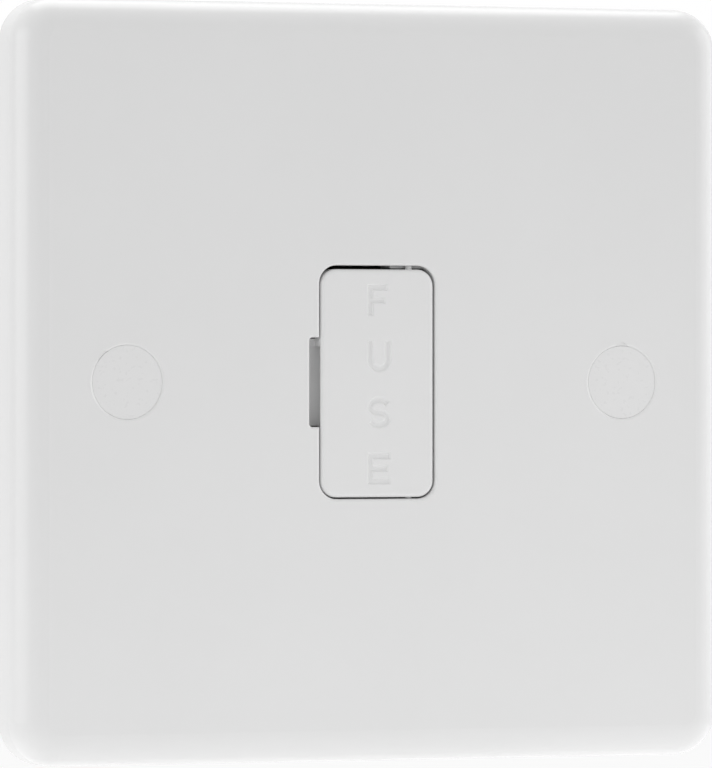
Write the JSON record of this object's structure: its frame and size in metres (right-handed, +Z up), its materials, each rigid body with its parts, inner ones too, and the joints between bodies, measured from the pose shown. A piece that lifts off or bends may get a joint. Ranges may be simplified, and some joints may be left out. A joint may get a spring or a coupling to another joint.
{
  "type": "fused spur unit",
  "caption": "Square white wall plate with a flush hinged fuse carrier, press-in screw caps and a rear terminal housing, feeding a fixed appliance through a cartridge fuse.",
  "frame": {"origin": "middle of the plane where the plate's rim meets the wall, midway between the fixing holes", "axes": "+X to the right seen from the room, +Y into the wall, +Z up"},
  "size_m": [0.086, 0.025, 0.086],
  "materials": {
    "plate_white": "glossy moulded thermoset",
    "cap_white": "glossy moulded plastic",
    "carrier_white": "satin moulded plastic",
    "housing_white": "matt moulded plastic",
    "brass_strip": "rolled spring brass",
    "brass_block": "machined brass",
    "plated_brass": "nickel-plated brass",
    "zinc_steel": "bright zinc plate",
    "fuse_ceramic": "unglazed ceramic",
    "fuse_wire": "drawn fuse wire",
    "insulator_board": "black pressed fibre board"
  },
  "bodies": {
    "unit": {"front_plate": "plate_white", "line_supply_contact": "brass_strip", "line_load_contact": "brass_strip", "neutral_link": "brass_strip", "earth_link": "brass_strip", "line_supply_terminal": "brass_block", "earth_supply_terminal": "brass_block", "neutral_supply_terminal": "brass_block", "line_load_terminal": "brass_block", "earth_load_terminal": "brass_block", "neutral_load_terminal": "brass_block", "terminal_screws": "zinc_steel", "assembly_screws": "zinc_steel", "insulator_plate": "insulator_board", "rear_housing": "housing_white"},
    "carrier": {"fuse_carrier": "carrier_white", "fuse_barrel": "fuse_ceramic", "fuse_element": "fuse_wire", "fuse_cap_upper": "plated_brass", "fuse_cap_lower": "plated_brass"},
    "left_cap": {"screw_cap_left": "cap_white"},
    "right_cap": {"screw_cap_right": "cap_white"}
  },
  "joints": [
    {"name": "carrier_hinge", "type": "hinge", "parent": "unit", "child": "carrier", "pos_m": [0.00413, -0.0059, 0], "axis": [0, 0, 1], "range_deg": [0, 90]},
    {"name": "left_cap_pull", "type": "slide", "parent": "unit", "child": "left_cap", "axis": [0, -1, 0], "range_m": [0, 0.008]},
    {"name": "right_cap_pull", "type": "slide", "parent": "unit", "child": "right_cap", "axis": [0, -1, 0], "range_m": [0, 0.008]}
  ]
}
